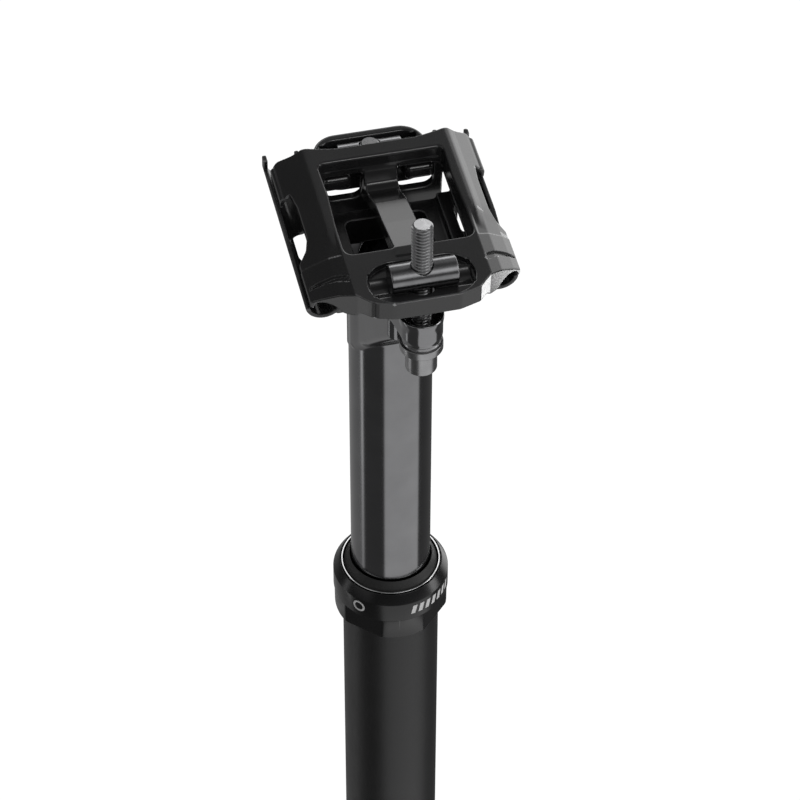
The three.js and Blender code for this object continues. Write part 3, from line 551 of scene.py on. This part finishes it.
# ---- materials ----
def material(name):
    m = bpy.data.materials.new(name)
    m.use_nodes = True
    return m, m.node_tree.nodes, m.node_tree.links, m.node_tree.nodes["Principled BSDF"]


def anodised(name, color, rough, grain=0.04, bump=0.02, coat=0.0, metallic=0.35, edge=0.25, scale=1.0):
    """Anodised aluminium: a dark coloured skin with fine grain, uneven sheen and brighter edges, partly wear
    and partly a painted edge highlight.
    """
    m, nodes, links, shader = material(name)
    where = nodes.new("ShaderNodeTexCoord")
    fine = nodes.new("ShaderNodeTexNoise")
    fine.inputs["Scale"].default_value = 5200 * scale
    fine.inputs["Detail"].default_value = 4
    broad = nodes.new("ShaderNodeTexNoise")
    broad.inputs["Scale"].default_value = 90
    broad.inputs["Detail"].default_value = 5
    for tex in (fine, broad):
        links.new(where.outputs["Object"], tex.inputs["Vector"])
    # Edges brightened by pointiness: partly wear, partly a painted highlight standing in for the bright lines
    # that rounded edges reflect.
    pointed = nodes.new("ShaderNodeNewGeometry")
    edge_wear_and_highlight = nodes.new("ShaderNodeValToRGB")
    edge_wear_and_highlight.color_ramp.elements[0].position = 0.53
    edge_wear_and_highlight.color_ramp.elements[1].position = 0.62
    edge_wear_and_highlight.color_ramp.elements[0].color = (0, 0, 0, 1)
    edge_wear_and_highlight.color_ramp.elements[1].color = (edge, edge, edge, 1)
    links.new(pointed.outputs["Pointiness"], edge_wear_and_highlight.inputs["Fac"])
    tint = nodes.new("ShaderNodeMix")
    tint.data_type = "RGBA"
    tint.inputs["A"].default_value = (*color, 1)
    tint.inputs["B"].default_value = (0.45, 0.45, 0.46, 1)
    links.new(edge_wear_and_highlight.outputs["Color"], tint.inputs["Factor"])
    shade = nodes.new("ShaderNodeMix")
    shade.data_type = "RGBA"
    shade.blend_type = "MULTIPLY"
    shade.inputs["Factor"].default_value = 1
    spread = nodes.new("ShaderNodeMapRange")
    spread.inputs["To Min"].default_value = 0.8
    spread.inputs["To Max"].default_value = 1.2
    links.new(broad.outputs["Fac"], spread.inputs["Value"])
    links.new(tint.outputs["Result"], shade.inputs["A"])
    links.new(spread.outputs["Result"], shade.inputs["B"])
    links.new(shade.outputs["Result"], shader.inputs["Base Color"])
    roughness = nodes.new("ShaderNodeMapRange")
    roughness.inputs["To Min"].default_value = rough - grain
    roughness.inputs["To Max"].default_value = rough + grain
    links.new(broad.outputs["Fac"], roughness.inputs["Value"])
    links.new(roughness.outputs["Result"], shader.inputs["Roughness"])
    dent = nodes.new("ShaderNodeBump")
    dent.inputs["Strength"].default_value = bump
    dent.inputs["Distance"].default_value = 0.0001
    links.new(fine.outputs["Fac"], dent.inputs["Height"])
    links.new(dent.outputs["Normal"], shader.inputs["Normal"])
    shader.inputs["Metallic"].default_value = metallic
    shader.inputs["Coat Weight"].default_value = coat
    shader.inputs["Coat Roughness"].default_value = 0.08
    return m


def steel(name, color, rough, streaks=(1, 1, 30)):
    """Turned steel: fine marks round the piece, with a little uneven tarnish."""
    m, nodes, links, shader = material(name)
    where = nodes.new("ShaderNodeTexCoord")
    stretch = nodes.new("ShaderNodeMapping")
    stretch.inputs["Scale"].default_value = streaks
    marks = nodes.new("ShaderNodeTexNoise")
    marks.inputs["Scale"].default_value = 900
    marks.inputs["Detail"].default_value = 6
    links.new(where.outputs["Object"], stretch.inputs["Vector"])
    links.new(stretch.outputs["Vector"], marks.inputs["Vector"])
    tarnish = nodes.new("ShaderNodeTexNoise")
    tarnish.inputs["Scale"].default_value = 240
    links.new(where.outputs["Object"], tarnish.inputs["Vector"])
    tone = nodes.new("ShaderNodeValToRGB")
    tone.color_ramp.elements[0].color = (*[c * 0.75 for c in color], 1)
    tone.color_ramp.elements[1].color = (*[min(1, c * 1.25) for c in color], 1)
    links.new(tarnish.outputs["Fac"], tone.inputs["Fac"])
    links.new(tone.outputs["Color"], shader.inputs["Base Color"])
    roughness = nodes.new("ShaderNodeMapRange")
    roughness.inputs["To Min"].default_value = rough * 0.75
    roughness.inputs["To Max"].default_value = rough * 1.3
    links.new(marks.outputs["Fac"], roughness.inputs["Value"])
    links.new(roughness.outputs["Result"], shader.inputs["Roughness"])
    dent = nodes.new("ShaderNodeBump")
    dent.inputs["Strength"].default_value = 0.06
    dent.inputs["Distance"].default_value = 0.00005
    links.new(marks.outputs["Fac"], dent.inputs["Height"])
    links.new(dent.outputs["Normal"], shader.inputs["Normal"])
    shader.inputs["Metallic"].default_value = 1.0
    return m


def plastic(name, color, rough, scale=1500, bump=0.15):
    """Rubber or bearing polymer: matte, with a fine pebbled skin."""
    m, nodes, links, shader = material(name)
    where = nodes.new("ShaderNodeTexCoord")
    pebble = nodes.new("ShaderNodeTexNoise")
    pebble.inputs["Scale"].default_value = scale
    pebble.inputs["Detail"].default_value = 3
    links.new(where.outputs["Object"], pebble.inputs["Vector"])
    tone = nodes.new("ShaderNodeValToRGB")
    tone.color_ramp.elements[0].color = (*[c * 0.8 for c in color], 1)
    tone.color_ramp.elements[1].color = (*[min(1, c * 1.3) for c in color], 1)
    links.new(pebble.outputs["Fac"], tone.inputs["Fac"])
    links.new(tone.outputs["Color"], shader.inputs["Base Color"])
    dent = nodes.new("ShaderNodeBump")
    dent.inputs["Strength"].default_value = bump
    dent.inputs["Distance"].default_value = 0.0001
    links.new(pebble.outputs["Fac"], dent.inputs["Height"])
    links.new(dent.outputs["Normal"], shader.inputs["Normal"])
    roughness = nodes.new("ShaderNodeMapRange")
    roughness.inputs["To Min"].default_value = rough - 0.08
    roughness.inputs["To Max"].default_value = rough + 0.08
    links.new(pebble.outputs["Fac"], roughness.inputs["Value"])
    links.new(roughness.outputs["Result"], shader.inputs["Roughness"])
    return m


MATERIALS = {
    "clamp_black": anodised("clamp_black", (0.016, 0.016, 0.0165), 0.2, metallic=0.0, edge=0.7),
    "post_black": anodised(
        "post_black", (0.2, 0.2, 0.205), 0.14, grain=0.02, metallic=1.0, edge=0.1, bump=0.01
    ),
    "tube_black": anodised(
        "tube_black", (0.014, 0.014, 0.0145), 0.42, grain=0.06, bump=0.25, metallic=0.3, edge=0.1
    ),
    "collar_black": anodised("collar_black", (0.008, 0.008, 0.0085), 0.24, metallic=0.2, edge=0.3, bump=0.01),
    "bright_ring": steel("bright_ring", (0.8, 0.8, 0.81), 0.18),
    "rod_steel": steel("rod_steel", (0.65, 0.65, 0.66), 0.12),
    "steel": steel("steel", (0.35, 0.35, 0.36), 0.35),
    "bolt_steel": steel("bolt_steel", (0.3, 0.3, 0.305), 0.28),
    "nut_steel": steel("nut_steel", (0.2, 0.2, 0.205), 0.24, streaks=(30, 1, 1)),
    "cartridge_metal": steel("cartridge_metal", (0.55, 0.55, 0.56), 0.3),
    "brass": steel("brass", (0.62, 0.45, 0.18), 0.25),
    "rubber": plastic("rubber", (0.012, 0.012, 0.012), 0.55),
    "bearing": plastic("bearing", (0.06, 0.06, 0.055), 0.5, scale=2500),
    "print_white": plastic("print_white", (0.6, 0.6, 0.6), 0.5, scale=3000, bump=0.05),
}
SLOT_OF = {s["node"]: s["material_slot"] for s in frame["record"]["subparts"]}
BODY_OF = {n: b for b, names in frame["record"]["behaviour"]["bodies"].items() for n in names}


def finish_piece(obj, *nodes):
    """Give a new piece the body, slot and finish of the node that it stands for."""
    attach(obj, BODY_OF[nodes[0]])
    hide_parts(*nodes)
    obj.data.materials.append(MATERIALS[SLOT_OF[nodes[0]]])
    return obj


# ---- building the pieces ----
def build_clamp():
    lean = clamp_matrix()
    step = 0.3
    top = field_piece("top_clamp_body", top_clamp_field, (-28, -36.2, -8.2), (28, 36.2, 13), step, lean)
    finish_piece(top, "top_clamp")
    aside = lean @ Matrix.Translation((CRADLE_X, 0, 0))
    cradle = field_piece("lower_cradle_body", cradle_field, (-29, -22.6, -14.4), (29, 32, 5.4), step, aside)
    finish_piece(cradle, "lower_cradle")


def build_post():
    step = 0.3
    coarse = np.array([-79, -78.2, -77.6, -60, -38, -37.3, -36.7, -30, 0, 30, 60, 72])
    zs = np.concatenate([coarse, np.arange(73, 141, step)])
    post = field_piece("upper_post_body", post_field, (-12.9, -40.4, 0), (12.9, 30, 0), step, None, zs)
    finish_piece(post, "upper_post")


def build_bolt(node):
    low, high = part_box(node)
    x, y = middle(node).x, middle(node).y
    bottom, top = low.z / MM, high.z / MM
    head_r = 4.05
    head_top = bottom + 6.4
    screw = threaded_rod(node + "_thread", x, y, head_top - 0.05, top)
    place = Matrix.Scale(MM, 4) @ Matrix.Translation((x, y, 0))
    head = lathe_piece(
        node + "_head",
        [(2.2, bottom + 3.6, 0), (2.2, bottom, 0.2), (head_r - 0.45, bottom, 0.3),
         (head_r, bottom + 0.45, 0.3), (head_r, head_top - 0.2, 0.15),
         (head_r - 0.2, head_top, 0.1), (0.02, head_top, 0), (0.02, bottom + 3.6, 0)],
        96, place,
    )
    finish_piece(screw, node)
    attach(head, BODY_OF[node])
    head.data.materials.append(MATERIALS[SLOT_OF[node]])


def build_washer(node):
    low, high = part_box(node)
    mid = middle(node)
    z0, z1 = low.z / MM, high.z / MM
    place = Matrix.Scale(MM, 4) @ Matrix.Translation((mid.x, mid.y, 0))
    profile = [
        (3.1, z0, 0.2), (5.1, z0, 0.1), (5.55, z0 + 0.5, 0.2), (5.55, z1 - 0.9, 0.15), (4.9, z1 - 0.6, 0.1),
        (4.7, z1, 0.1), (3.1, z1, 0.2),
    ]
    ring = lathe_piece(node + "_ring", profile, 96, place)
    finish_piece(ring, node)


def build_nut(node, slip):
    mid = middle(node)
    lean = Matrix.Rotation(math.radians(CLAMP_PITCH), 4, "X")
    place = Matrix.Scale(MM, 4) @ Matrix.Translation((slip, mid.y, mid.z)) @ lean

    def field(x, y, z):
        bar = both(round_bar(y, z, 0, 0, NUT_R), slab(x, -8.5, 8.5), 0.35)
        c, s = math.cos(math.radians(CLAMP_PITCH)), math.sin(math.radians(CLAMP_PITCH))
        hole = round_bar(x + slip, y * c - z * s, 0, 0, BOLT_R + 0.12)
        return minus(bar, hole, 0.25)

    nut = field_piece(node + "_bar", field, (-9.2, -4.4, -4.4), (9.2, 4.4, 4.4), 0.22, place)
    finish_piece(nut, node)


def build_collar():
    flats = math.cos(math.radians(22.5)) * COLLAR_FOOT_R

    def wrench(angle, r, z):
        if r < 14.6 or z > 7.25:
            return r
        nearest = (angle - math.pi / 4) % (math.pi / 2)
        nearest = min(nearest, math.pi / 2 - nearest)
        return min(r, flats / max(math.cos(nearest), 1e-3)) if nearest < math.radians(22.5) else r

    body = lathe_piece(
        "collar_body",
        [(13.9, 0, 0.2), (COLLAR_FOOT_R, 0, 0.35), (15.98, 7.0, 0.0), (16.1, 7.25, 0.0),
         (COLLAR_R, 7.4, 0.1), (COLLAR_R, 13.65, 0.5), (14.5, 16.4, 0.25), (14.25, 16.4, 0.1),
         (14.25, 14.9, 0), (13.5, 14.9, 0), (13.5, 10.8, 0), (12.6, 10.8, 0), (12.6, 10.4, 0), (13.9, 10.4, 0)],
        256, None, wrench,
    )
    finish_piece(body, "collar")
    ring = lathe_piece(
        "collar_ring_band", [(13.5, 15.2, 0), (13.95, 15.2, 0), (13.95, 16.6, 0.15), (13.5, 16.6, 0.15)], 192
    )
    finish_piece(ring, "collar_ring")
    wiper = lathe_piece(
        "wiper_lip",
        [(11.44, 11.1, 0), (13.2, 11.1, 0), (13.2, 16.2, 0.3), (12.5, 17.3, 0.5),
         (11.7, 18.9, 0.15), (11.44, 18.7, 0.1)],
        192,
    )
    finish_piece(wiper, "wiper_seal")


def collar_marks():
    """Two plain light marks printed on the collar: a small ring, and a row of slanted bars."""
    toward = math.radians(-90 - HEADING)

    def stamp(name, outlines):
        verts, faces = [], []
        for points in outlines:
            first, n = len(verts), len(points)
            for r in (COLLAR_R - 0.2, COLLAR_R + 0.03):
                for turn, z in points:
                    a = toward + math.radians(turn)
                    verts.append((r * math.cos(a), r * math.sin(a), z))
            faces.append([first + k for k in reversed(range(n))])
            faces.append([first + n + k for k in range(n)])
            for k in range(n):
                j = (k + 1) % n
                faces.append([first + k, first + j, first + n + j, first + n + k])
        obj = mesh_piece(name, verts, faces)
        tidy(obj)
        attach(obj, BODY_OF["collar"])
        obj.data.materials.append(MATERIALS["print_white"])

    middle_turn, middle_z = -33, 11.0
    ring = []
    for k in range(32):
        corners = []
        for r, step in ((1.3, k), (1.9, k), (1.9, k + 1), (1.3, k + 1)):
            a = 2 * math.pi * step / 32
            turn = middle_turn + math.degrees(r * math.cos(a) / COLLAR_R)
            corners.append((turn, middle_z + r * math.sin(a)))
        ring.append(corners)
    stamp("collar_mark_ring", ring)
    bars = []
    for k in range(7):
        start = 21 + 8 * k
        bars.append([(start, 9.4), (start + 4.5, 9.4), (start + 7, 12.4), (start + 2.5, 12.4)])
    stamp("collar_mark_bars", bars)


def build_tube():
    low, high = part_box("lower_tube")
    z0, z1 = low.z / MM, high.z / MM
    tube = lathe_piece(
        "lower_tube_body", [(12.35, z0, 0.2), (TUBE_R, z0, 0.4), (TUBE_R, z1, 0.3), (12.35, z1, 0.2)], 192
    )
    finish_piece(tube, "lower_tube")


def dress_remaining():
    """CAD nodes that stay get their slot's finish."""
    for name, obj in frame["nodes"].items():
        if obj.hide_render:
            continue
        obj.data.materials.clear()
        obj.data.materials.append(MATERIALS[SLOT_OF[name]])


# ---- camera, light and floor ----
def build_camera():
    aim = Vector((1.4, -5.0, 82.6)) * MM
    heading, elevation, roll = math.radians(HEADING), math.radians(44.09), math.radians(-0.15)
    distance = 0.845
    level = math.cos(elevation)
    forward = Vector((math.sin(heading) * level, math.cos(heading) * level, -math.sin(elevation)))
    data = bpy.data.cameras.new("camera")
    data.lens = 142.5
    data.sensor_width = 36
    data.clip_start, data.clip_end = 0.05, 20
    cam = bpy.data.objects.new("camera", data)
    bpy.context.scene.collection.objects.link(cam)
    cam.rotation_mode = "QUATERNION"
    cam.location = aim - forward * distance
    turn = Matrix.Rotation(roll, 3, forward)
    cam.rotation_quaternion = turn.to_quaternion() @ forward.to_track_quat("-Z", "Y")
    bpy.context.scene.camera = cam
    return forward


def softbox(name, place, size, power, aim=(0, 0, 0.1)):
    data = bpy.data.lights.new(name, "AREA")
    data.shape = "RECTANGLE"
    data.size, data.size_y = size
    data.energy = power
    lamp = bpy.data.objects.new(name, data)
    bpy.context.scene.collection.objects.link(lamp)
    lamp.location = place
    lamp.rotation_mode = "QUATERNION"
    lamp.rotation_quaternion = (Vector(aim) - Vector(place)).to_track_quat("-Z", "Y")
    return lamp


def build_world(scene):
    """A dark studio with soft panels all round, placed by bearing from the camera and by height."""
    world = bpy.data.worlds.new("studio")
    world.use_nodes = True
    nodes, links = world.node_tree.nodes, world.node_tree.links
    heading = math.radians(HEADING)
    rightward = (math.cos(heading), -math.sin(heading), 0)
    nearer = (-math.sin(heading), -math.cos(heading), 0)
    where = nodes.new("ShaderNodeTexCoord")

    def math_node(kind, a, b=None):
        n = nodes.new("ShaderNodeMath")
        n.operation = kind
        for socket, value in zip(n.inputs, (a, b)):
            if value is None:
                continue
            if isinstance(value, (int, float)):
                socket.default_value = value
            else:
                links.new(value, socket)
        return n.outputs[0]

    def along(axis):
        n = nodes.new("ShaderNodeVectorMath")
        n.operation = "DOT_PRODUCT"
        links.new(where.outputs["Generated"], n.inputs[0])
        n.inputs[1].default_value = axis
        return n.outputs["Value"]

    degrees = 180 / math.pi
    bearing = math_node("MULTIPLY", math_node("ARCTAN2", along(rightward), along(nearer)), degrees)
    height = math_node("MULTIPLY", math_node("ARCSINE", along((0, 0, 1))), degrees)

    def within(value, low, high, soft):
        offset = math_node("ABSOLUTE", math_node("SUBTRACT", value, (low + high) / 2))
        n = nodes.new("ShaderNodeMapRange")
        n.interpolation_type = "SMOOTHSTEP"
        half = (high - low) / 2
        n.inputs["From Min"].default_value = half - soft
        n.inputs["From Max"].default_value = half + soft
        n.inputs["To Min"].default_value = 1
        n.inputs["To Max"].default_value = 0
        links.new(offset, n.inputs["Value"])
        return n.outputs["Result"]

    total = None
    for (left, right, soft), (low, high, fade), level in PANELS:
        panel = math_node("MULTIPLY", within(bearing, left, right, soft), within(height, low, high, fade))
        panel = math_node("MULTIPLY", panel, level)
        total = panel if total is None else math_node("ADD", total, panel)
    back = nodes["Background"]
    back.inputs["Color"].default_value = (1, 1, 1, 1)
    links.new(math_node("ADD", total, AMBIENT), back.inputs["Strength"])
    scene.world = world


# Soft panels: (left, right, softness) and (low, high, softness) in degrees, then brightness.
AMBIENT = 0.1
PANELS = [
    ((-17, 86, 3), (-75, 4, 6), 0.85),
    ((-90, -82, 2), (-45, 20, 5), 1.5),
    ((-200, -80, 4), (-80, -10, 8), 0.2),
    ((120, 175, 8), (-30, 12, 6), 1.6),
    ((-200, -140, 8), (12, 32, 5), 2.2),
    ((150, 200, 8), (12, 32, 5), 2.2),
    ((-200, 200, 5), (40, 70, 8), 0.25),
    ((20, 60, 5), (30, 55, 5), 1.5),
    ((-75, -35, 6), (10, 60, 8), 0.4),
]
HEADING = 13.7


def build_stage():
    scene = bpy.context.scene
    scene.view_settings.view_transform = "Standard"
    scene.view_settings.look = "None"
    build_world(scene)
    floor_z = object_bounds()[0].z - 0.001
    bpy.ops.mesh.primitive_plane_add(size=30, location=(0, 0, floor_z))
    floor = bpy.context.object
    floor.name = "floor"
    m, nodes, links, _ = material("floor_white")
    glow = nodes.new("ShaderNodeEmission")
    glow.inputs["Color"].default_value = (1, 1, 1, 1)
    glow.inputs["Strength"].default_value = 1.05
    links.new(glow.outputs["Emission"], nodes["Material Output"].inputs["Surface"])
    floor.data.materials.append(m)
    floor.visible_glossy = False
    floor.visible_diffuse = False
    floor.visible_transmission = False
    softbox("right_key", (0.9, -0.3, 0.35), (0.3, 0.8), 3)
    # Small cards, each placed so that one facet mirrors it to the camera, and lighting that piece alone.
    for name, place, size, power, aim, piece in CARDS:
        card = softbox(name, place, size, power, aim)
        lit = bpy.data.collections.new(name + "_lights")
        lit.objects.link(bpy.data.objects[piece])
        card.light_linking.receiver_collection = lit


# Cards: name, place, size, power, aim (metres and watts), the piece it lights.
CARDS = [
    ("right_chamfer_card", (0.12, -0.003, 0.0485), (0.026, 0.026), 0.017, (0.015, -0.037, 0.148),
     "top_clamp_body"),
    ("left_chamfer_card", (-0.118, -0.066, 0.044), (0.08, 0.06), 0.014, (-0.015, -0.037, 0.148),
     "top_clamp_body"),
    ("edge_card", (0.07, -0.293, 0.401), (0.12, 0.05), 0.14, (0, 0.012, 0.154), "top_clamp_body"),
    ("bolt_top_card", (0.034, 0.107, 0.31), (0.04, 0.04), 0.016, (0, -0.033, 0.168), "front_bolt_thread"),
    ("ring_card", (0.05, 0.2, 0.23), (0.09, 0.09), 0.03, (0, -0.01, 0.016), "collar_ring_band"),
]


build_camera()
build_tube()
build_collar()
collar_marks()
build_post()
build_clamp()
for bolt in ("front_bolt", "rear_bolt"):
    build_bolt(bolt)
for ring in ("front_washer", "rear_washer"):
    build_washer(ring)
build_nut("front_barrel_nut", 0.2)
build_nut("rear_barrel_nut", 0)
dress_remaining()
build_stage()
